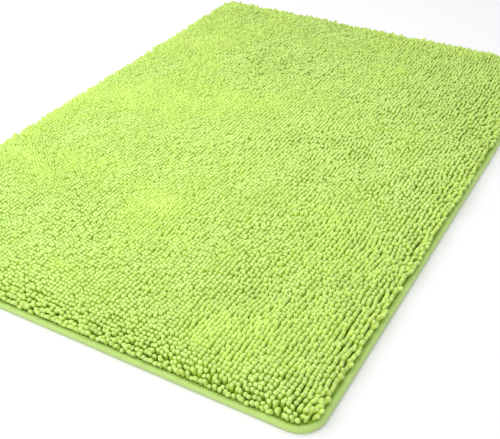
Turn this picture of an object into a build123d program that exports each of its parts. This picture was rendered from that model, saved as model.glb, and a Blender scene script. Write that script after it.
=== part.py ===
from build123d import *
import os
from math import sqrt

# A tufted chenille bath mat lying flat, in millimetres. X runs across the tuft rows, Y along them and Z up.
# The origin is the middle of the footprint, on the floor.

# Driving sizes of the finished mat
mat_width = 600.0
mat_length = 900.0
corner_radius = 28.0
total_height = 20.0

# Edge tape: its raw edges are turned under, so each leg is two plies
tape_ply = 0.8
tape_leg = 2 * tape_ply
tape_reach = 6.5
tape_roll = 2.6

# The layers that the tape is folded round, from the floor side up
grip_sheet = 0.9
latex_layer = 0.6
cloth_layer = 0.9

# Lockstitch that holds the tape
stitch_inset = 5.1
thread_width = 0.5
thread_height = 0.35

# Tufted rows: five needles to the inch
row_count = 115
rows_per_node = 5
row_pitch = 5.08
yarn_width = 4.6
yarn_round = 2.0
row_end_gap = 0.6

# Heights and insets that follow from the sizes above
sheet_bottom = tape_leg
latex_bottom = sheet_bottom + grip_sheet
cloth_bottom = latex_bottom + latex_layer
pile_bottom = cloth_bottom + cloth_layer
tape_height = pile_bottom + tape_leg
fold_inset = tape_ply


def rounded_slab(inset, bottom, height):
    """The mat's rounded rectangle, drawn in by inset all round, as a slab."""
    outline = RectangleRounded(mat_width - 2 * inset, mat_length - 2 * inset, corner_radius - inset)
    return Pos(0, 0, bottom) * extrude(outline, height)


def ring(inset, width, bottom, height):
    """A flat ring that follows the mat's edge."""
    return rounded_slab(inset, bottom, height) - rounded_slab(inset + width, bottom, height)


def grip_backing():
    """Rubber sheet held in the fold, with its dotted face as a pad down to the floor inside the tape."""
    sheet = rounded_slab(fold_inset, sheet_bottom, grip_sheet)
    dotted_face = rounded_slab(tape_reach, 0, sheet_bottom)
    return sheet + dotted_face


def latex_coat():
    """Coat that locks the tufts, between the rubber and the tufting cloth."""
    return rounded_slab(fold_inset, latex_bottom, latex_layer)


def tufting_cloth():
    """Woven cloth that the yarn is punched through."""
    return rounded_slab(fold_inset, cloth_bottom, cloth_layer)


def thread_loop(bottom):
    """One thread of the seam, all the way round."""
    return ring(stitch_inset, thread_width, bottom, thread_height)


def edge_binding():
    """Tape folded round the layers: two legs and a rolled outer edge, grooved where the seam pulls it in."""
    roll = rounded_slab(0, 0, tape_height)
    outer_edges = roll.edges().filter_by_position(Axis.Z, -0.01, 0.01)
    outer_edges += roll.edges().filter_by_position(Axis.Z, tape_height - 0.01, tape_height + 0.01)
    roll = fillet(outer_edges, tape_roll)
    layers = rounded_slab(fold_inset, sheet_bottom, pile_bottom - sheet_bottom)
    opening = rounded_slab(tape_reach, 0, tape_height)
    return roll - layers - opening - thread_loop(0) - thread_loop(tape_height - thread_height)


def row_end(x):
    """How far along Y a row at x may reach inside the tape, allowing for the rounded corners."""
    half_width = mat_width / 2 - tape_reach
    half_length = mat_length / 2 - tape_reach
    inner_radius = corner_radius - tape_reach
    into_corner = abs(x) + yarn_width / 2 - (half_width - inner_radius)
    if into_corner <= 0:
        return half_length - row_end_gap
    return half_length - inner_radius + sqrt(inner_radius**2 - into_corner**2) - row_end_gap


def pile_row(x):
    """One row of chenille as a low wall with a rounded top."""
    pile_height = total_height - pile_bottom
    wall = Box(yarn_width, 2 * row_end(x), pile_height, align=(Align.CENTER, Align.CENTER, Align.MIN))
    crest = wall.edges().filter_by(Axis.Y).sort_by(Axis.Z)[-2:]
    return Pos(x, 0, pile_bottom) * fillet(crest, yarn_round)


def pile_rows(first):
    """Neighbouring rows of chenille, each a solid of its own."""
    middle = (row_count - 1) / 2
    rows = [pile_row((i - middle) * row_pitch) for i in range(first, first + rows_per_node)]
    return Compound(children=rows)


nodes = {
    "grip_backing": grip_backing(),
    "latex_coat": latex_coat(),
    "tufting_cloth": tufting_cloth(),
    "edge_binding": edge_binding(),
    "seam_thread_under": thread_loop(0),
    "seam_thread_top": thread_loop(tape_height - thread_height),
}
for group, first in enumerate(range(0, row_count, rows_per_node), start=1):
    nodes[f"pile_rows_{group:02d}"] = pile_rows(first)

os.makedirs("parts", exist_ok=True)
for name, shape in nodes.items():
    export_step(shape, f"parts/{name}.step")
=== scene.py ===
import math

import bpy
import numpy as np
from mathutils import Matrix, Vector


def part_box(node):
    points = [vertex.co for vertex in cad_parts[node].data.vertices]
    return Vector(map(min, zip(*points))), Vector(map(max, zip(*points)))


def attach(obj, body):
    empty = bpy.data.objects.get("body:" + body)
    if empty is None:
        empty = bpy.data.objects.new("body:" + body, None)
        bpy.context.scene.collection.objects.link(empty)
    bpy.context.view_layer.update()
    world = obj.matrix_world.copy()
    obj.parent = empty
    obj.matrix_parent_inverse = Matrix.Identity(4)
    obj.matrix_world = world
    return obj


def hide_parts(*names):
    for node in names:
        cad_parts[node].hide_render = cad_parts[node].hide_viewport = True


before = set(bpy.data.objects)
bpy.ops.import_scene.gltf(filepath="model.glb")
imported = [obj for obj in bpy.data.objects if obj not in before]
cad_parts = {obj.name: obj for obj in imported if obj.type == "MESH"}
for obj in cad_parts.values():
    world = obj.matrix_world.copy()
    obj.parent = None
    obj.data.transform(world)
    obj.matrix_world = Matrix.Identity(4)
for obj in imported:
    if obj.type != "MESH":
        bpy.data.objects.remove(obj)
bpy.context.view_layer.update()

# ---- Tufting cloth -------------------------------------------------------------------------------
# The woven polyester base cloth of the mat, cut to a rounded rectangle and dyed with the yarn. The needles
# punch the pile yarn through it in straight rows, and its edge is held in the fold of the tape.

MM = 0.001


def mesh_piece(name, points, faces, uvs=None):
    """A smooth-shaded piece from whole arrays. points is (n, 3). faces is a list of index arrays, one for
    each number of corners, and uvs a list of arrays (faces, corners, 2) that match it."""
    mesh = bpy.data.meshes.new(name)
    corners = np.concatenate([f.ravel() for f in faces]).astype(np.int32)
    sizes = np.concatenate([np.full(len(f), f.shape[1], np.int32) for f in faces])
    mesh.vertices.add(len(points))
    mesh.vertices.foreach_set("co", np.asarray(points, np.float32).ravel())
    mesh.loops.add(len(corners))
    mesh.loops.foreach_set("vertex_index", corners)
    mesh.polygons.add(len(sizes))
    mesh.polygons.foreach_set("loop_start", (np.cumsum(sizes) - sizes).astype(np.int32))
    mesh.polygons.foreach_set("use_smooth", np.ones(len(sizes), bool))
    mesh.update(calc_edges=True)
    if uvs is not None:
        layer = mesh.uv_layers.new(name="surface")
        flat = np.concatenate([u.reshape(-1, 2) for u in uvs])
        layer.data.foreach_set("uv", flat.astype(np.float32).ravel())
    piece = bpy.data.objects.new(name, mesh)
    bpy.context.scene.collection.objects.link(piece)
    return piece


def grid_quads(rows, columns, close_rows=False, close_columns=False):
    """The corner numbers of the quads of a grid of points, rows first. Closing a direction joins its last
    line of points to its first."""
    i = np.arange(rows if close_rows else rows - 1)[:, None]
    j = np.arange(columns if close_columns else columns - 1)[None, :]
    i2, j2 = (i + 1) % rows, (j + 1) % columns
    quads = np.stack([i * columns + j, i * columns + j2, i2 * columns + j2, i2 * columns + j], -1)
    return quads.reshape(-1, 4)


mat_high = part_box("edge_binding")[1]
mat_half_x, mat_half_y = mat_high.x, mat_high.y
corner_radius = 28 * MM
cloth_low, cloth_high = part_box("tufting_cloth")
layer_inset = 1.3 * MM


def flat_sheet(name, inset, bottom, top):
    """A thin closed sheet in the mat's outline, made of sections across Y at places along X. Each section
    runs over the top and back under the bottom, and its length follows the outline, with places set closer
    along the corner arcs. The two end sections are capped."""
    straight_places, arc_places, section_points = 61, 9, 91
    radius = corner_radius - inset
    straight = np.linspace(-1, 1, straight_places) * (mat_half_x - corner_radius)
    arc = radius * np.sin(np.linspace(0, math.pi / 2, arc_places + 1)[1:])
    places = np.concatenate([straight[0] - arc[::-1], straight, straight[-1] + arc])
    into = np.clip(np.abs(places) - straight[-1], 0, radius)
    reach = mat_half_y - corner_radius + np.sqrt(radius**2 - into**2)
    x = np.broadcast_to(places[:, None], (len(places), section_points))
    y = reach[:, None] * np.linspace(-1, 1, section_points)
    over = np.stack([x, y, np.full_like(y, top)], -1)
    under = np.stack([x, y, np.full_like(y, bottom)], -1)[:, ::-1]
    points = np.concatenate([over, under], 1)
    count, around = points.shape[:2]
    quads = grid_quads(count, around, close_columns=True)
    k = np.arange(section_points - 1)
    cap = np.stack([k, k + 1, around - 2 - k, around - 1 - k], -1)
    caps = np.concatenate([cap[:, ::-1], cap + (count - 1) * around])
    return mesh_piece(name, points.reshape(-1, 3), [np.concatenate([quads, caps])[:, ::-1]])


def new_material(name):
    """A node material, with its tree and its Principled shader."""
    material = bpy.data.materials.new(name)
    material.use_nodes = True
    return material, material.node_tree, material.node_tree.nodes["Principled BSDF"]


def feed(tree, node, values):
    """Sets a node's inputs in order. A value is a number or vector, or another node's output to link."""
    for socket, value in zip(node.inputs, values):
        if isinstance(value, bpy.types.NodeSocket):
            tree.links.new(value, socket)
        elif value is not None:
            socket.default_value = value
    return node.outputs[0]


def maths(tree, operation, *values):
    """One step of arithmetic on numbers or outputs."""
    node = tree.nodes.new("ShaderNodeMath")
    node.operation = operation
    return feed(tree, node, values)


def scaled(tree, vector, scale):
    """A vector or colour times a number."""
    node = tree.nodes.new("ShaderNodeVectorMath")
    node.operation = "SCALE"
    tree.links.new(vector, node.inputs[0])
    feed(tree, node, [None, None, None, scale])
    return node.outputs[0]


def ramp(tree, value, stops):
    """A colour from a value, through (place, colour) stops."""
    node = tree.nodes.new("ShaderNodeValToRGB")
    elements = node.color_ramp.elements
    elements[0].position, elements[0].color = stops[0][0], (*stops[0][1], 1)
    elements[1].position, elements[1].color = stops[-1][0], (*stops[-1][1], 1)
    for place, colour in stops[1:-1]:
        elements.new(place).color = (*colour, 1)
    tree.links.new(value, node.inputs[0])
    return node.outputs[0]


def bump(tree, shader, height, depth, strength=1.0):
    """Relief on a shader from a height that runs from 0 to 1, which stands for that depth."""
    node = tree.nodes.new("ShaderNodeBump")
    node.inputs["Strength"].default_value = strength
    node.inputs["Distance"].default_value = depth
    tree.links.new(height, node.inputs["Height"])
    tree.links.new(node.outputs[0], shader.inputs["Normal"])


def new_group(name, inputs, outputs):
    """An empty shader node group. inputs are (name, kind, value) and outputs (name, kind)."""
    tree = bpy.data.node_groups.new(name, "ShaderNodeTree")
    for socket, kind, value in inputs:
        made = tree.interface.new_socket(socket, in_out="INPUT", socket_type="NodeSocket" + kind)
        if value is not None:
            made.default_value = value
    for socket, kind in outputs:
        tree.interface.new_socket(socket, in_out="OUTPUT", socket_type="NodeSocket" + kind)
    return tree, tree.nodes.new("NodeGroupInput").outputs, tree.nodes.new("NodeGroupOutput").inputs


def use_group(tree, group, **values):
    """A group placed in a material. values set its inputs by name, with _ for a space."""
    node = tree.nodes.new("ShaderNodeGroup")
    node.node_tree = group
    for name, value in values.items():
        socket = node.inputs[name.replace("_", " ")]
        if isinstance(value, bpy.types.NodeSocket):
            tree.links.new(value, socket)
        else:
            socket.default_value = value
    return node.outputs


def weave_group():
    """Plain weave. Warp and weft threads of one pitch pass over and under each other like a chessboard: each
    is a cosine hump across its width, and rises and falls as a cosine along its length. Height is the upper
    of the two, from 0 to 1, and Warp is 1 where the warp is on top."""
    tree, given, out = new_group(
        "plain_weave",
        [("Place", "Vector", None), ("Thread", "Float", 0.5 * MM)],
        [("Height", "Float"), ("Warp", "Float")],
    )
    split = tree.nodes.new("ShaderNodeSeparateXYZ")
    tree.links.new(scaled(tree, given["Place"], maths(tree, "DIVIDE", 1.0, given["Thread"])), split.inputs[0])
    u, v = split.outputs[0], split.outputs[1]
    heights = []
    for across, along, start in [(u, v, -0.5), (v, u, 0.5)]:
        hump = maths(tree, "COSINE", maths(tree, "MULTIPLY", maths(tree, "SUBTRACT",
                     maths(tree, "FRACT", across), 0.5), math.pi))
        beat = maths(tree, "ADD", maths(tree, "ADD", along, start), maths(tree, "FLOOR", across))
        rise = maths(tree, "COSINE", maths(tree, "MULTIPLY", beat, math.pi))
        heights.append(maths(tree, "MULTIPLY", hump, maths(tree, "MULTIPLY_ADD", rise, 0.5, 0.5)))
    tree.links.new(maths(tree, "MAXIMUM", *heights), out["Height"])
    tree.links.new(maths(tree, "GREATER_THAN", *heights), out["Warp"])
    return tree


plain_weave = weave_group()


def cloth_material():
    """Coarse plain base cloth, dyed lime and dull, with painted shade between its threads."""
    material, tree, shader = new_material("base_cloth")
    place = tree.nodes.new("ShaderNodeTexCoord")
    weave = use_group(tree, plain_weave, Place=place.outputs["Object"], Thread=0.9 * MM)
    # Painted shade: darker where the weave is low, between the threads.
    colour = ramp(tree, weave["Height"], [(0.1, (0.34, 0.52, 0.06)), (0.9, (0.55, 0.80, 0.14))])
    tree.links.new(colour, shader.inputs["Base Color"])
    bump(tree, shader, weave["Height"], 0.25 * MM)
    shader.inputs["Roughness"].default_value = 0.85
    shader.inputs["Specular IOR Level"].default_value = 0.2
    return material


cloth = flat_sheet("tufting_cloth_woven", layer_inset, cloth_low.z, cloth_high.z)
cloth.data.materials.append(cloth_material())
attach(cloth, "root")
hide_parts("tufting_cloth")

# ---- Chenille pile -------------------------------------------------------------------------------
# Soft round-tipped noodles of microfibre chenille yarn, tufted in rows along the mat's length, five
# rows to the inch. They stand as they were last brushed, in patches that lean one way or the other.

row_count, rows_per_node = 115, 5
row_pitch = 5.08 * MM
tuft_pitch = 4.85 * MM
noodle_radius = 2.45 * MM
noodle_reach = 16.0 * MM
noodle_sides = 6
pile_root = cloth_high.z
pile_inset = 6.1 * MM
lowest_stand = 6 * MM
overhang = 3.6 * MM

# Distance back from the tip in millimetres, share of the thickness, and how much that share varies from
# noodle to noodle, at each ring from the root end upwards
ring_back, ring_share, ring_vary = np.array([
    (40, 0.85, 0),
    (11.2, 0.97, 0.05),
    (7.8, 1.0, 0.06),
    (4.8, 0.98, 0.06),
    (1.9, 0.93, 0.04),
    (0.5, 0.64, 0.02),
]).T


def smooth_noise(x, y, size, seed):
    """Soft noise from -1 to 1: random values on a square lattice of that size, turned by the seed's own
    angle, and joined by a smooth step both ways."""
    cells = 96
    draw = np.random.default_rng(seed)
    angle = draw.uniform(0, math.pi)
    values = draw.uniform(-1, 1, (cells, cells))
    u = (x * math.cos(angle) + y * math.sin(angle)) / size + cells / 2
    v = (y * math.cos(angle) - x * math.sin(angle)) / size + cells / 2
    i, j = np.floor(u).astype(int), np.floor(v).astype(int)
    a, b = u - i, v - j
    a, b = a * a * (3 - 2 * a), b * b * (3 - 2 * b)
    i, j, i2, j2 = i % cells, j % cells, (i + 1) % cells, (j + 1) % cells
    near = values[i, j] * (1 - a) + values[i2, j] * a
    far = values[i, j2] * (1 - a) + values[i2, j2] * a
    return near * (1 - b) + far * b


def clump_noise(x, y, size, seed):
    """Random values from -1 to 1 that are level over small patches and change at once between them: the
    value of the nearest of the points of a jittered lattice."""
    cells = 256
    draw = np.random.default_rng(seed)
    shift = draw.uniform(0.1, 0.9, (cells, cells, 2))
    values = draw.uniform(-1, 1, (cells, cells))
    u, v = x / size, y / size
    i, j = np.floor(u).astype(int), np.floor(v).astype(int)
    nearest, value = np.full(u.shape, np.inf), np.zeros(u.shape)
    for di, dj in np.ndindex(3, 3):
        ci, cj = i + di - 1, j + dj - 1
        place = shift[ci % cells, cj % cells]
        away = np.hypot(ci + place[..., 0] - u, cj + place[..., 1] - v)
        value = np.where(away < nearest, values[ci % cells, cj % cells], value)
        nearest = np.minimum(away, nearest)
    return value


def row_end(x):
    """How far along Y a row at x reaches inside the tape."""
    half_x, half_y = mat_half_x - pile_inset, mat_half_y - pile_inset
    radius = corner_radius - pile_inset
    into = np.clip(np.abs(x) + noodle_radius - (half_x - radius), 0, radius)
    return half_y - radius + np.sqrt(radius**2 - into**2) - noodle_radius


def looseness(x, y):
    """How far the rows are out of order, from 0 to 1: most along the +X side, but not at its near end, which
    is combed straight."""
    return np.clip(x / (220 * MM), 0, 1) * np.clip((y + 350 * MM) / (90 * MM), 0, 1)


def brushed(x, y):
    """How far the tip at a tuft is brushed from above its root, along X and Y: broad patches that each lean
    their own way, smaller swirls within them, and clumps of a dozen noodles that hold together. The far
    part leans back towards the near end, and loose rows swirl sideways. Each amount is in millimetres."""
    loose = looseness(x, y)
    patches = (6.0 - 2.2 * loose) * smooth_noise(x, y, 105 * MM, 11)
    swirls = 1.3 * smooth_noise(x, y, 26 * MM, 12)
    clumps = 0.9 * clump_noise(x, y, 17 * MM, 15)
    back = 4.0 * np.clip(y / (300 * MM), 0, 1)
    along = patches + swirls + clumps - back
    patches = 3.6 * smooth_noise(x, y, 70 * MM, 13)
    swirls = 1.9 * smooth_noise(x, y, 27 * MM, 14)
    clumps = 0.7 * clump_noise(x, y, 15 * MM, 16)
    strays = 2.3 * loose * smooth_noise(x, y, 36 * MM, 19)
    across = patches + swirls + (clumps + strays)
    return across * MM, along * MM


def depth_inside(x, y):
    """How far a place is inside the mat's outer edge, from the nearest straight side or corner arc."""
    past_x = np.abs(x) - (mat_half_x - corner_radius)
    past_y = np.abs(y) - (mat_half_y - corner_radius)
    in_corner = np.hypot(np.maximum(past_x, 0), np.maximum(past_y, 0))
    elsewhere = np.minimum(np.maximum(past_x, past_y), 0)
    return corner_radius - (in_corner + elsewhere)


def edge_of(x, y):
    """The outward direction at a place, which turns smoothly round each corner, and how far it is inside the
    tape's inner edge."""
    turning = 6 * MM
    out_x = np.exp((np.abs(x) - mat_half_x) / turning)
    out_y = np.exp((np.abs(y) - mat_half_y) / turning)
    size = np.hypot(out_x, out_y)
    inset = np.maximum(depth_inside(x, y) - pile_inset, 0)
    return np.sign(x) * out_x / size, np.sign(y) * out_y / size, inset


def planted(draw):
    """The row and the place of every root. Each row stops a little short of the tape and drifts against its
    neighbour, and each tuft is slightly off its mark."""
    most_drift, most_short = 0.25, 1.2 * MM
    off_across, off_along = 0.15 * MM, 0.25 * MM
    x_rows = (np.arange(row_count) - (row_count - 1) / 2) * row_pitch
    ends = row_end(x_rows)
    counts = np.floor(2 * ends / tuft_pitch).astype(int) + 1
    row = np.repeat(np.arange(row_count), counts)
    place = np.concatenate([np.linspace(-1, 1, n) for n in counts])
    drift = np.cumsum(draw.uniform(-most_drift, most_drift, row_count)) * tuft_pitch
    short = draw.uniform(0, most_short, (row_count, 2))
    x = x_rows[row] + draw.normal(0, off_across, len(row))
    y = place * (ends[row] - np.where(place > 0, short[row, 0], short[row, 1]) * place**2)
    y += drift[row] * (1 - place**8) + draw.normal(0, off_along, len(row))
    return row, x, y


def leaned(draw, x, y, edge, near_corner):
    """How far each tip stands from its root, along X and Y. Towards the edge the brushed lean gives way to a
    pull outwards over the tape, and the tips scatter more, most of all at the near corner, where they fan
    out. A tip that would reach too far over the tape is drawn back."""
    out_x, out_y, inset = edge
    side, end = out_x**2, out_y**2
    fringe_width, side_width, end_width = 12 * MM, 45 * MM, 26 * MM
    fringe = np.exp(-inset / fringe_width)
    held = 1 - 0.6 * fringe
    scatter = (0.4 + (0.9 + near_corner) * fringe + 0.4 * looseness(x, y)) * MM
    side_pull = 7.6 * (1 - 0.3 * near_corner)
    end_pull = 8.4 * (1 - 0.2 * near_corner)
    ragged = 1.4 * smooth_noise(x, y, 24 * MM, 17)
    pull = (side * side_pull + end * end_pull + ragged) * MM
    pull = pull * (side * np.exp(-inset / side_width) + end * np.exp(-inset / end_width))
    lean_x, lean_y = brushed(x, y)
    lean_x = lean_x * held + out_x * pull + draw.normal(0, 1, len(x)) * scatter
    lean_y = lean_y * held + out_y * pull + draw.normal(0, 1, len(x)) * scatter
    excess = np.maximum(lean_x * out_x + lean_y * out_y - inset - overhang, 0)
    return lean_x - excess * out_x, lean_y - excess * out_y


def tufts():
    """Root, tip, arch, thickness, turn, tone and lumps of every noodle of the mat, as arrays, and its row.
    A noodle keeps its length, so it stands lower as it leans further, and lower too where the lean parts the
    pile. The outermost ones droop over the tape. Towards the far end, and less so towards the +X side, the
    pile is less even. The tone holds painted shade: darker towards the far end and the +X side, and lighter
    or darker by which way the noodle is brushed along Y, on top of a random tone."""
    draw = np.random.default_rng(7)
    row, x, y = planted(draw)
    brushed_x, brushed_y = brushed(x, y)
    step = 2 * MM
    parting = (brushed(x + step, y)[0] - brushed_x + brushed(x, y + step)[1] - brushed_y) / step
    far_end = np.clip(y / (420 * MM), 0, 1)
    far_side = np.clip(x / (250 * MM), 0, 1)
    far_right_weight = 1 - (1 - far_end) * (1 - 0.45 * far_side)
    # Painted shade in the tone: lighter or darker by the brushed lean along Y, and darker towards the far end
    # and the +X side.
    shown_side = np.clip(brushed_y / (6 * MM), -1, 1)
    painted_nap_shade = 0.08 * shown_side - 0.28 * far_right_weight
    edge = edge_of(x, y)
    out_x, out_y, inset = edge
    corner_size = 160 * MM
    near_corner = np.exp(-((np.hypot(x - mat_half_x, y + mat_half_y) / corner_size) ** 2))
    lean_x, lean_y = leaned(draw, x, y, edge, near_corner)
    lean = np.hypot(lean_x, lean_y)
    stand = np.sqrt(np.maximum(noodle_reach**2 - lean**2, lowest_stand**2))
    sunk = 0.10 * np.clip(parting, -0.6, 1.0)
    stand *= 1 - sunk
    uneven = (0.65 + 0.42 * far_right_weight) * draw.normal(0, 1, len(x))
    stand += (uneven + 0.5 * smooth_noise(x, y, 34 * MM, 18)) * MM
    droop_width, side_droop, end_droop = 9 * MM, 0.50, 0.66 + 0.08 * near_corner
    droop = side_droop * out_x**2 + end_droop * out_y**2
    droop = droop * np.exp(-inset / droop_width) * draw.uniform(0.3, 1.25, len(x))
    root = np.stack([x, y, np.full(len(x), pile_root)], -1)
    tip = root + np.stack([lean_x, lean_y, stand * (1 - droop)], -1)
    return {
        "row": row,
        "root": root,
        "tip": tip,
        "arch": stand * (1 - 0.75 * droop),
        "radius": noodle_radius * draw.normal(1, 0.05, len(x)).clip(0.87, 1.13),
        "turn": draw.uniform(0, 2 * math.pi, len(x)),
        "tone": 0.5 + painted_nap_shade + draw.uniform(-0.15, 0.15, len(x)) * (1 + 0.9 * far_right_weight),
        "lumps": draw.normal(0, 1, (len(x), len(ring_back))),
    }


def noodles(name, t):
    """Closed round-tipped tubes along Bezier curves: each leaves its root upright, and bends over towards its
    tip. The curve's handles stand at 0.45 and 0.90 of the arch, over 0.08 and 0.50 of the lean. The
    thickness swells and narrows along it, as twisted chenille does."""
    root, tip = t["root"], t["tip"]
    flat = (tip - root) * [1, 1, 0]
    rise = t["arch"][:, None] * np.array([0, 0, 1.0])
    lower = root + 0.08 * flat + 0.45 * rise
    upper = root + 0.50 * flat + 0.90 * rise
    length = np.linalg.norm(lower - root, axis=1) + np.linalg.norm(upper - lower, axis=1)
    length += np.linalg.norm(tip - upper, axis=1)
    s = np.clip(1 - ring_back * MM / length[:, None], 0, 1)[..., None]
    a, b, c, d = root[:, None], lower[:, None], upper[:, None], tip[:, None]
    centre = a * (1 - s) ** 3 + 3 * b * s * (1 - s) ** 2 + 3 * c * s**2 * (1 - s) + d * s**3
    tangent = (b - a) * (1 - s) ** 2 + 2 * (c - b) * s * (1 - s) + (d - c) * s**2
    tangent /= np.linalg.norm(tangent, axis=-1, keepdims=True)
    side = np.cross(tangent, np.array([1.0, 0, 0]))
    side /= np.linalg.norm(side, axis=-1, keepdims=True)
    other = np.cross(tangent, side)
    angle = t["turn"][:, None] + np.arange(noodle_sides) * 2 * math.pi / noodle_sides
    round_x, round_y = np.cos(angle)[:, None, :, None], np.sin(angle)[:, None, :, None]
    share = ring_share + ring_vary * t["lumps"]
    thick = (t["radius"][:, None] * share)[..., None, None]
    rings = centre[:, :, None] + thick * (round_x * side[:, :, None] + round_y * other[:, :, None])
    count, levels = len(root), len(ring_back)
    per = levels * noodle_sides + 1
    points = np.concatenate([rings.reshape(count, -1, 3), tip[:, None]], 1).reshape(-1, 3)
    first = np.arange(count)[:, None, None] * per
    quads = (grid_quads(levels, noodle_sides, close_columns=True)[None] + first).reshape(-1, 4)
    k = np.arange(noodle_sides)
    top = (levels - 1) * noodle_sides
    tip_fan = np.stack([top + k, top + (k + 1) % noodle_sides, np.full(noodle_sides, per - 1)], -1)
    fans = (tip_fan[None] + first).reshape(-1, 3)
    ends = (k[::-1][None, None] + first).reshape(-1, noodle_sides)
    u = np.stack([k, k + 1, k + 1, k], -1) / noodle_sides
    v = np.broadcast_to(np.linspace(0.05, 0.95, levels)[:, None], (levels, noodle_sides))
    quad_v = np.stack([v[:-1], v[:-1], v[1:], v[1:]], -1)
    quad_uv = np.stack([np.broadcast_to(u, quad_v.shape), quad_v], -1).reshape(-1, 4, 2)
    fan_u = np.stack([k, k + 1, k + 0.5], -1) / noodle_sides
    fan_uv = np.stack([fan_u, np.tile([0.95, 0.95, 1.0], (noodle_sides, 1))], -1)
    end_uv = np.zeros((count, noodle_sides, 2))
    uvs = [np.tile(quad_uv, (count, 1, 1)), np.tile(fan_uv, (count, 1, 1)), end_uv]
    piece = mesh_piece(name, points, [quads, fans, ends], uvs)
    # The tone attribute holds a random tone and painted shade.
    tone = piece.data.attributes.new("tone", "FLOAT", "POINT")
    tone.data.foreach_set("value", np.repeat(t["tone"], per).astype(np.float32))
    return piece


def fibre_group():
    """Short cut fibres that stand out of a yarn: fine noise, roughened by the pointed tops of small cells of
    the fibre's size. Height is from 0 to 1, and Light is painted light and shade: paler at the fibre ends and
    darker between them."""
    tree, given, out = new_group(
        "short_fibres",
        [("Place", "Vector", None), ("Fibre", "Float", 0.4 * MM)],
        [("Height", "Float"), ("Light", "Float")],
    )
    scale = maths(tree, "DIVIDE", 1.0, given["Fibre"])
    fine = tree.nodes.new("ShaderNodeTexNoise")
    fine.inputs["Detail"].default_value = 3
    cells = tree.nodes.new("ShaderNodeTexVoronoi")
    for texture in (fine, cells):
        tree.links.new(given["Place"], texture.inputs["Vector"])
        tree.links.new(scale, texture.inputs["Scale"])
    ends = maths(tree, "SUBTRACT", 1.0, cells.outputs["Distance"])
    height = maths(tree, "MULTIPLY_ADD", ends, 0.5, maths(tree, "MULTIPLY", fine.outputs[0], 0.5))
    tree.links.new(height, out["Height"])
    # Painted light and shade: paler where the fibres stand high, darker where they dip.
    tree.links.new(maths(tree, "MULTIPLY_ADD", height, 0.5, 0.72), out["Light"])
    return tree


short_fibres = fibre_group()


def chenille():
    """Lime chenille, each noodle a little different, with a fuzz of cut fibres. Its colour holds painted
    light and shade: brighter and richer at the roots as a painted fill that lifts the shade in the gaps,
    milkier at the tips as a painted highlight, darker where the fibres dip, and darker and duller where it is
    seen at a shallow angle, as painted shade."""
    # Painted fill and highlight: the root colour is lifted to light the shaded gaps, and the tip colour is
    # the paler lit top.
    root_lime_painted_fill, middle_lime, tip_lime_painted_highlight = (0.80, 0.98, 0.10), (0.75, 0.95, 0.17), (0.69, 0.93, 0.285)
    grazing_shade_green = (0.44, 0.58, 0.21, 1)
    material, tree, shader = new_material("chenille")
    uv = tree.nodes.new("ShaderNodeUVMap")
    uv.uv_map = "surface"
    split = tree.nodes.new("ShaderNodeSeparateXYZ")
    tree.links.new(uv.outputs["UV"], split.inputs[0])
    along = ramp(tree, split.outputs["Y"], [(0.0, root_lime_painted_fill), (0.5, middle_lime), (1.0, tip_lime_painted_highlight)])
    place = tree.nodes.new("ShaderNodeTexCoord")
    fibres = use_group(tree, short_fibres, Place=place.outputs["Object"], Fibre=0.55 * MM)
    tone = tree.nodes.new("ShaderNodeAttribute")
    tone.attribute_name = "tone"
    # Random tone and the painted shade carried in the tone attribute.
    tone_and_painted_shade = maths(tree, "MULTIPLY_ADD", tone.outputs["Fac"], 0.40, 0.80)
    # The fibres' Light is painted light and shade between the fibres.
    shade = maths(tree, "MULTIPLY", fibres["Light"], tone_and_painted_shade)
    # Painted shade: the colour is mixed towards a dull darker green where the surface is seen at a shallow
    # angle.
    grazing = tree.nodes.new("ShaderNodeLayerWeight")
    grazing.inputs["Blend"].default_value = 0.4
    grazing_shaded = tree.nodes.new("ShaderNodeMix")
    grazing_shaded.data_type = "RGBA"
    grazing_shade_share = maths(tree, "POWER", grazing.outputs["Facing"], 1.6)
    tree.links.new(maths(tree, "MULTIPLY", grazing_shade_share, 0.7), grazing_shaded.inputs[0])
    tree.links.new(along, grazing_shaded.inputs[6])
    grazing_shaded.inputs[7].default_value = grazing_shade_green
    tree.links.new(scaled(tree, grazing_shaded.outputs[2], shade), shader.inputs["Base Color"])
    bump(tree, shader, fibres["Height"], 0.35 * MM, 0.6)
    shader.inputs["Roughness"].default_value = 0.9
    shader.inputs["Specular IOR Level"].default_value = 0.15
    shader.inputs["Sheen Weight"].default_value = 0.06
    shader.inputs["Sheen Roughness"].default_value = 0.5
    shader.inputs["Sheen Tint"].default_value = (0.9, 1.0, 0.6, 1)
    return material


yarn = chenille()
all_tufts = tufts()
for group in range(row_count // rows_per_node):
    rows = all_tufts["row"] // rows_per_node == group
    piece = noodles(f"chenille_rows_{group + 1:02d}", {k: v[rows] for k, v in all_tufts.items()})
    piece.data.materials.append(yarn)
    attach(piece, "root")
    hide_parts(f"pile_rows_{group + 1:02d}")

# ---- Latex coat ----------------------------------------------------------------------------------
# Milky latex spread on the back of the tufted cloth and cured, which locks the loops of yarn. It is
# hidden between the cloth and the rubber, with its edge in the fold of the tape.


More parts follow.
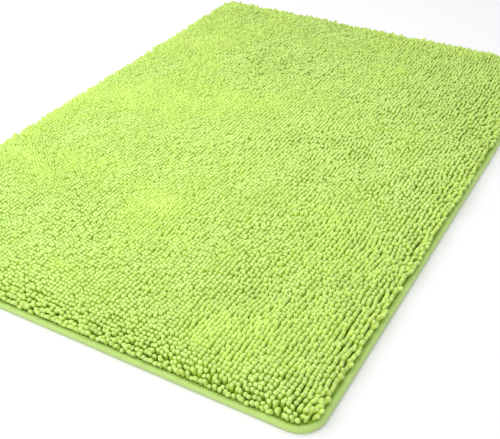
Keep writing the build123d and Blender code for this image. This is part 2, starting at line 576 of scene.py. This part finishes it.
def grain_group():
    """The surface of a cured rubber: fine pits and low broad swellings. Height is from 0 to 1, and Mottle
    is a slow change of tone."""
    tree, given, out = new_group(
        "rubber_grain",
        [("Place", "Vector", None), ("Grain", "Float", 0.3 * MM)],
        [("Height", "Float"), ("Mottle", "Float")],
    )
    scale = maths(tree, "DIVIDE", 1.0, given["Grain"])
    fine = tree.nodes.new("ShaderNodeTexNoise")
    broad = tree.nodes.new("ShaderNodeTexNoise")
    for texture, size in ((fine, scale), (broad, maths(tree, "MULTIPLY", scale, 0.03))):
        tree.links.new(given["Place"], texture.inputs["Vector"])
        tree.links.new(size, texture.inputs["Scale"])
    pits = maths(tree, "MULTIPLY", fine.outputs[0], 0.3)
    tree.links.new(maths(tree, "MULTIPLY_ADD", broad.outputs[0], 0.7, pits), out["Height"])
    tree.links.new(broad.outputs[0], out["Mottle"])
    return tree


rubber_grain = grain_group()


def rubber(name, grain, dark, pale, roughness):
    """Dull rubber that mottles from one tone to the other, with a pitted skin."""
    material, tree, shader = new_material(name)
    place = tree.nodes.new("ShaderNodeTexCoord")
    skin = use_group(tree, rubber_grain, Place=place.outputs["Object"], Grain=grain)
    tree.links.new(ramp(tree, skin["Mottle"], [(0.3, dark), (0.7, pale)]), shader.inputs["Base Color"])
    bump(tree, shader, skin["Height"], 0.15 * MM)
    shader.inputs["Roughness"].default_value = roughness
    shader.inputs["Specular IOR Level"].default_value = 0.4
    return material


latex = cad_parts["latex_coat"]
latex.data.materials.clear()
latex.data.materials.append(rubber("latex", 0.5 * MM, (0.70, 0.68, 0.58), (0.82, 0.80, 0.70), 0.6))

# ---- Grip backing --------------------------------------------------------------------------------
# A sheet of soft grey-white rubber bonded under the latex, moulded with rows of round feet that stand on
# the floor inside the tape and stop the mat from sliding.

grip_low, grip_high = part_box("grip_backing")
sheet_bottom = 1.6 * MM
foot_pitch = 12 * MM
foot_radius = 2.9 * MM
foot_taper = 0.8
foot_sink = 0.1 * MM
foot_sides = 8
feet_inset = 9 * MM


def foot_places():
    """Centres of the feet: rows along X, every other row set half a pitch over, kept well inside the tape."""
    half_x, half_y = mat_half_x - feet_inset, mat_half_y - feet_inset
    across, down = foot_pitch, foot_pitch * math.sqrt(3) / 2
    i = np.arange(-int(half_x / across), int(half_x / across) + 1)
    j = np.arange(-int(half_y / down), int(half_y / down) + 1)
    x = (i[None, :] + 0.5 * (j[:, None] % 2)) * across
    y = np.broadcast_to(j[:, None] * down, x.shape)
    inside = depth_inside(x, y) > feet_inset
    return np.stack([x[inside], y[inside]], -1)


def grip_feet():
    """Every foot as a closed low round stud: a wide ring in the sheet and a narrower one on the floor."""
    places = foot_places()
    count = len(places)
    angle = np.arange(foot_sides) * 2 * math.pi / foot_sides
    circle = np.stack([np.cos(angle), np.sin(angle)], -1)
    radii = np.array([foot_radius, foot_taper * foot_radius])
    heights = np.array([sheet_bottom + foot_sink, grip_low.z])
    flat = places[:, None, None] + radii[None, :, None, None] * circle[None, None]
    z = np.broadcast_to(heights[None, :, None, None], (count, 2, foot_sides, 1))
    points = np.concatenate([flat, z], -1).reshape(-1, 3)
    first = np.arange(count)[:, None, None] * 2 * foot_sides
    quads = (grid_quads(2, foot_sides, close_columns=True)[:, ::-1][None] + first).reshape(-1, 4)
    k = np.arange(foot_sides)
    caps = (np.stack([k, foot_sides + k[::-1]])[None] + first).reshape(-1, foot_sides)
    return mesh_piece("grip_feet", points, [quads, caps])


grip_rubber = rubber("grip_rubber", 0.35 * MM, (0.60, 0.62, 0.60), (0.72, 0.74, 0.71), 0.7)
grip_sheet = flat_sheet("grip_sheet", layer_inset, sheet_bottom, grip_high.z)
feet = grip_feet()
for piece in (grip_sheet, feet):
    piece.data.materials.append(grip_rubber)
    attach(piece, "root")
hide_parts("grip_backing")

# ---- Edge tape -----------------------------------------------------------------------------------
# A double-fold bias tape of plain woven polyester. Its raw edges are turned in, and it wraps the edge of
# the cloth and the rubber from above and below as a soft round bead, held by one seam all round.

ply = 0.72 * MM
tape_sections = 1320
seam_inset = 5.35 * MM
outline_length = 4 * (mat_half_x + mat_half_y) - 8 * corner_radius + 2 * math.pi * corner_radius


def outline(s):
    """Points and outward normals at distances s along the mat's outer edge, anticlockwise from the middle of
    the +X side: straight sides joined by quarter circles."""
    side_x, side_y = mat_half_x - corner_radius, mat_half_y - corner_radius
    arc = corner_radius * math.pi / 2
    lengths = np.array([side_y, arc, 2 * side_x, arc, 2 * side_y, arc, 2 * side_x, arc, side_y])
    starts = np.concatenate([[0], np.cumsum(lengths)])
    part = np.clip(np.searchsorted(starts, s, side="right") - 1, 0, 8)
    along = (s - starts[part]) / lengths[part]
    turn = (part // 2 + (part % 2) * along) * math.pi / 2
    centre_x = np.array([1, 1, 1, -1, -1, -1, -1, 1, 1])[part] * side_x
    centre_y = np.array([0, 1, 1, 1, 1, -1, -1, -1, -1])[part] * side_y
    run = (part % 2 == 0) * along * lengths[part]
    normal = np.stack([np.cos(turn), np.sin(turn)], -1)
    forward = np.stack([-np.sin(turn), np.cos(turn)], -1)
    return np.stack([centre_x, centre_y], -1) + forward * run[..., None] + normal * corner_radius, normal


def tape_profile():
    """The tape's middle line across its width, from one raw edge to the other, as (inset, height) points:
    in along the hidden lower ply, round the fold, out along the leg, up round the mat's edge as a bead that
    stands proud, down to the seam, round the upper fold and back along the hidden upper ply. It is drawn in
    millimetres."""
    def arc(centre_x, centre_y, radius_x, radius_y, start, stop, count):
        """Points along part of an ellipse, between two angles in degrees."""
        a = np.radians(np.linspace(start, stop, count))
        return np.stack([centre_x + radius_x * np.cos(a), centre_y + radius_y * np.sin(a)], -1)

    top = mat_high.z / MM
    middle = top / 2
    raw_edge, ply_bend = 2.0, 4.0
    fold_inset, fold_height, fold_radius = 5.75, 0.86, 0.38
    ply_height = fold_height + fold_radius
    lower_leg = [(4.6, 0.40)]
    lower_bead = arc(2.8, middle, 2.44, 2.44, 270, 180, 8)[:-1]
    upper_bead = arc(2.7, middle, 2.34, 3.25, 180, 90, 9)
    upper_leg = [(3.5, 5.96), (4.3, 5.68), (5.0, 5.34)]
    parts = [
        [(raw_edge, ply_height), (ply_bend, ply_height)],
        arc(fold_inset, fold_height, fold_radius, fold_radius, 90, -90, 6),
        lower_leg,
        lower_bead,
        upper_bead,
        upper_leg,
        arc(fold_inset, top - fold_height, fold_radius, fold_radius, 90, -90, 6),
        [(ply_bend, top - ply_height), (raw_edge, top - ply_height)],
    ]
    return np.concatenate([np.array(p) for p in parts]) * MM


def thicken(line, thickness):
    """A closed outline round an open middle line: the line moved to one side by half the thickness, and back
    along the other side."""
    step = np.gradient(line, axis=0)
    step /= np.linalg.norm(step, axis=1, keepdims=True)
    normal = np.stack([step[:, 1], -step[:, 0]], -1)
    return np.concatenate([line + normal * thickness / 2, (line - normal * thickness / 2)[::-1]])


def tape_wave(x, y):
    """How far the tape's top is lifted, and its outer edge pushed out, at a place along the mat's edge: long
    waves with short ripples on them. Each amount is in millimetres."""
    wave, ripple = smooth_noise(x, y, 42 * MM, 31), smooth_noise(x, y, 13 * MM, 32)
    lift = 0.45 * wave + 0.25 * ripple
    wave, ripple = smooth_noise(x, y, 55 * MM, 33), smooth_noise(x, y, 16 * MM, 34)
    push = 0.5 * wave + 0.15 * ripple
    return lift * MM, push * MM


def edge_tape():
    """The tape's section carried along the mat's outline, with a gentle wave in its height and reach that
    grows from nothing at the floor."""
    base, normal = outline(np.arange(tape_sections) * outline_length / tape_sections)
    section = thicken(tape_profile(), ply)
    inset, height = section[:, 0], section[:, 1]
    lift, push = tape_wave(base[:, 0], base[:, 1])
    raised = np.clip(height / mat_high.z, 0, 1)
    flat = base[:, None] - normal[:, None] * (inset[None, :, None] + (push[:, None] * raised)[..., None])
    z = height[None] + lift[:, None] * raised**2
    points = np.concatenate([flat, z[..., None]], -1)
    quads = grid_quads(tape_sections, len(section), True, True)
    u = np.arange(tape_sections + 1) * outline_length / tape_sections
    across = np.linalg.norm(np.diff(section, axis=0, append=section[:1]), axis=1)
    v = np.concatenate([[0], np.cumsum(across)])
    i, j = np.meshgrid(np.arange(tape_sections), np.arange(len(section)), indexing="ij")
    quad_u = np.stack([u[i], u[i], u[i + 1], u[i + 1]], -1)
    quad_v = np.stack([v[j], v[j + 1], v[j + 1], v[j]], -1)
    uv = np.stack([quad_u, quad_v], -1).reshape(-1, 4, 2)
    return mesh_piece("edge_tape_folded", points.reshape(-1, 3), [quads], [uv])


def tape_material():
    """Lime polyester tape in a fine plain weave, cut on the bias, with a soft sheen and slow changes of shade
    where it has been pulled and pressed. Its weave is painted darker in the gaps between threads as painted
    shade, and paler on their crowns as painted highlight."""
    material, tree, shader = new_material("edge_tape")
    uv = tree.nodes.new("ShaderNodeUVMap")
    uv.uv_map = "surface"
    bias = tree.nodes.new("ShaderNodeMapping")
    bias.inputs["Rotation"].default_value = (0, 0, math.radians(45))
    tree.links.new(uv.outputs["UV"], bias.inputs["Vector"])
    weave = use_group(tree, plain_weave, Place=bias.outputs[0], Thread=0.42 * MM)
    pressed = tree.nodes.new("ShaderNodeTexNoise")
    pressed.inputs["Scale"].default_value = 90
    tree.links.new(uv.outputs["UV"], pressed.inputs["Vector"])
    # Painted shade in the gaps between threads and painted highlight on their crowns.
    gap_shade_lime, thread_lime, crown_highlight_lime = (0.36, 0.55, 0.11), (0.56, 0.78, 0.22), (0.62, 0.84, 0.28)
    colour = ramp(tree, weave["Height"], [(0.0, gap_shade_lime), (0.45, thread_lime), (1.0, crown_highlight_lime)])
    shade = maths(tree, "MULTIPLY_ADD", pressed.outputs[0], 0.16, 0.92)
    thread = maths(tree, "MULTIPLY_ADD", weave["Warp"], 0.05, 0.96)
    tree.links.new(scaled(tree, colour, maths(tree, "MULTIPLY", shade, thread)), shader.inputs["Base Color"])
    bump(tree, shader, weave["Height"], 0.12 * MM)
    shader.inputs["Roughness"].default_value = 0.7
    shader.inputs["Specular IOR Level"].default_value = 0.25
    shader.inputs["Sheen Weight"].default_value = 0.25
    shader.inputs["Sheen Roughness"].default_value = 0.4
    return material


tape = edge_tape()
tape.data.materials.append(tape_material())
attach(tape, "root")
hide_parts("edge_binding")
tape_cut = np.linalg.norm(np.diff(tape_profile(), axis=0), axis=1).sum()

# ---- Seam ----------------------------------------------------------------------------------------
# One line of lockstitch all round, near the folded edge of the tape: the needle thread shows on the
# upper leg and the bobbin thread on the lower one. Each stitch dips into the cloth at both ends.

stitch_pitch = 3.2 * MM
stitch_reach = 2.7 * MM
stitch_swell = np.array([0.55, 0.95, 1.0, 0.95, 0.55])
stitch_rings, stitch_sides = len(stitch_swell), 5
needle_sink, bobbin_sink = 0.35 * MM, -0.3 * MM
thread_radius = 0.24 * MM


def stitches(name, shift, height, sink, follow):
    """A row of separate stitches. Each is a closed tube along the seam line, highest in its middle, and sunk
    and thinner at its ends. shift moves the row along by that share of a stitch, and follow is how much of
    the tape's wave it takes."""
    count = round(outline_length / stitch_pitch)
    middle = (np.arange(count) + shift) * outline_length / count
    t = np.linspace(-1, 1, stitch_rings)
    s = (middle[:, None] + t * stitch_reach / 2) % outline_length
    base, normal = outline(s)
    lift, push = tape_wave(base[..., 0], base[..., 1])
    line = base - normal * (seam_inset + push * follow)[..., None]
    z = height + lift * follow - sink * t**2
    thick = thread_radius * stitch_swell
    angle = np.arange(stitch_sides) * 2 * math.pi / stitch_sides
    across, up = np.cos(angle), np.sin(angle)
    flat = line[:, :, None] + normal[:, :, None] * (thick[:, None] * across)[None, ..., None]
    points = np.concatenate([flat, (z[..., None] + thick[:, None] * up)[..., None]], -1).reshape(-1, 3)
    per = stitch_rings * stitch_sides
    first = np.arange(count)[:, None, None] * per
    quads = (grid_quads(stitch_rings, stitch_sides, close_columns=True)[None] + first).reshape(-1, 4)
    k = np.arange(stitch_sides)
    caps = (np.stack([k[::-1], per - stitch_sides + k])[None] + first).reshape(-1, stitch_sides)
    return mesh_piece(name, points, [quads, caps])


def thread_material():
    """Spun polyester sewing thread in the tape's lime: a hairy twist of two plies, with a low sheen, painted
    darker where its fibres dip.
    """
    material, tree, shader = new_material("sewing_thread")
    place = tree.nodes.new("ShaderNodeTexCoord")
    fibres = use_group(tree, short_fibres, Place=place.outputs["Object"], Fibre=0.12 * MM)
    # Painted shade: darker where the fibre relief is low, paler where it is high.
    colour = ramp(tree, fibres["Height"], [(0.2, (0.42, 0.62, 0.12)), (0.8, (0.66, 0.86, 0.30))])
    tree.links.new(colour, shader.inputs["Base Color"])
    bump(tree, shader, fibres["Height"], 0.08 * MM)
    shader.inputs["Roughness"].default_value = 0.6
    shader.inputs["Sheen Weight"].default_value = 0.2
    return material


needle_thread = stitches("seam_stitches_top", 0.0, mat_high.z - 0.06 * MM, needle_sink, 1.0)
bobbin_thread = stitches("seam_stitches_under", 0.5, thread_radius, bobbin_sink, 0.0)
thread = thread_material()
for piece, node in ((needle_thread, "seam_thread_top"), (bobbin_thread, "seam_thread_under")):
    piece.data.materials.append(thread)
    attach(piece, "root")
    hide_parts(node)

# ---- Floor, light and camera ---------------------------------------------------------------------
# A plain white studio floor, in a white surround that is brighter towards the left front, and one big soft
# light overhead there. The surround has the tone of the distant floor where it is looked at.

bpy.context.scene.view_settings.view_transform = "Standard"


def floor_material():
    """Matt white that can be seen through from below. Beneath the mat, light on its way to something closer
    than the gap passes through it too, so that the underside is lit and shows from below."""
    gap, margin = 4 * MM, 3 * MM
    material, tree, shader = new_material("floor")
    shader.inputs["Base Color"].default_value = (0.89, 0.88, 0.905, 1)
    shader.inputs["Roughness"].default_value = 0.9
    shader.inputs["Specular IOR Level"].default_value = 0.1
    ray = tree.nodes.new("ShaderNodeLightPath")
    side = tree.nodes.new("ShaderNodeNewGeometry")
    split = tree.nodes.new("ShaderNodeSeparateXYZ")
    tree.links.new(side.outputs["Position"], split.inputs[0])
    close = maths(tree, "LESS_THAN", ray.outputs["Ray Length"], gap)
    for place, half in ((split.outputs["X"], mat_half_x), (split.outputs["Y"], mat_half_y)):
        within = maths(tree, "LESS_THAN", maths(tree, "ABSOLUTE", place), half - margin)
        close = maths(tree, "MULTIPLY", close, within)
    seen = ray.outputs["Is Camera Ray"]
    hidden = maths(tree, "MAXIMUM", side.outputs["Backfacing"], maths(tree, "SUBTRACT", close, seen))
    clear = tree.nodes.new("ShaderNodeBsdfTransparent")
    mix = tree.nodes.new("ShaderNodeMixShader")
    for source, socket in zip((hidden, shader.outputs[0], clear.outputs[0]), mix.inputs):
        tree.links.new(source, socket)
    tree.links.new(mix.outputs[0], tree.nodes["Material Output"].inputs["Surface"])
    return material


bpy.ops.mesh.primitive_plane_add(size=12)
floor = bpy.context.object
floor.name = "floor"
floor.data.materials.append(floor_material())

world = bpy.data.worlds.new("surround")
bpy.context.scene.world = world
world.use_nodes = True
surround = world.node_tree
background = surround.nodes["Background"]
background.inputs["Color"].default_value = (1, 1, 1, 1)
direction = surround.nodes.new("ShaderNodeTexCoord")
brightest = Vector((-0.75, -0.5, 0.45)).normalized()
facing = surround.nodes.new("ShaderNodeVectorMath")
facing.operation = "DOT_PRODUCT"
facing.inputs[1].default_value = brightest
surround.links.new(direction.outputs["Generated"], facing.inputs[0])
glow_swing, glow_middle, seen_glow = 0.35, 0.785, 0.8
glow = maths(surround, "MULTIPLY_ADD", facing.outputs["Value"], glow_swing, glow_middle)
seen = surround.nodes.new("ShaderNodeLightPath").outputs["Is Camera Ray"]
change = maths(surround, "SUBTRACT", seen_glow, glow)
surround.links.new(maths(surround, "MULTIPLY_ADD", seen, change, glow), background.inputs["Strength"])

key = bpy.data.lights.new("key", "AREA")
key.shape = "DISK"
key.size = 1.6
key.energy = 7.0
key_object = bpy.data.objects.new("key", key)
bpy.context.scene.collection.objects.link(key_object)
key_place, key_aim = Vector((-0.42, -0.3, 0.95)), Vector((-0.35, -0.25, 0))
key_turn = (key_aim - key_place).to_track_quat("-Z", "Y").to_matrix().to_4x4()
key_object.matrix_world = Matrix.Translation(key_place) @ key_turn

camera = bpy.data.cameras.new("camera")
camera.sensor_width = 36
camera.lens = 61.373
camera.shift_x = 0.06
camera_object = bpy.data.objects.new("camera", camera)
bpy.context.scene.collection.objects.link(camera_object)
bpy.context.scene.camera = camera_object
heading, down, roll = 0.529616, 0.603104, -0.005394
camera_place = Vector((0.488368, -0.935078, 0.597739))
turned = Matrix.Rotation(heading, 4, "Z") @ Matrix.Rotation(math.pi / 2 - down, 4, "X")
turned = turned @ Matrix.Rotation(roll, 4, "Z")
camera_object.matrix_world = Matrix.Translation(camera_place) @ turned
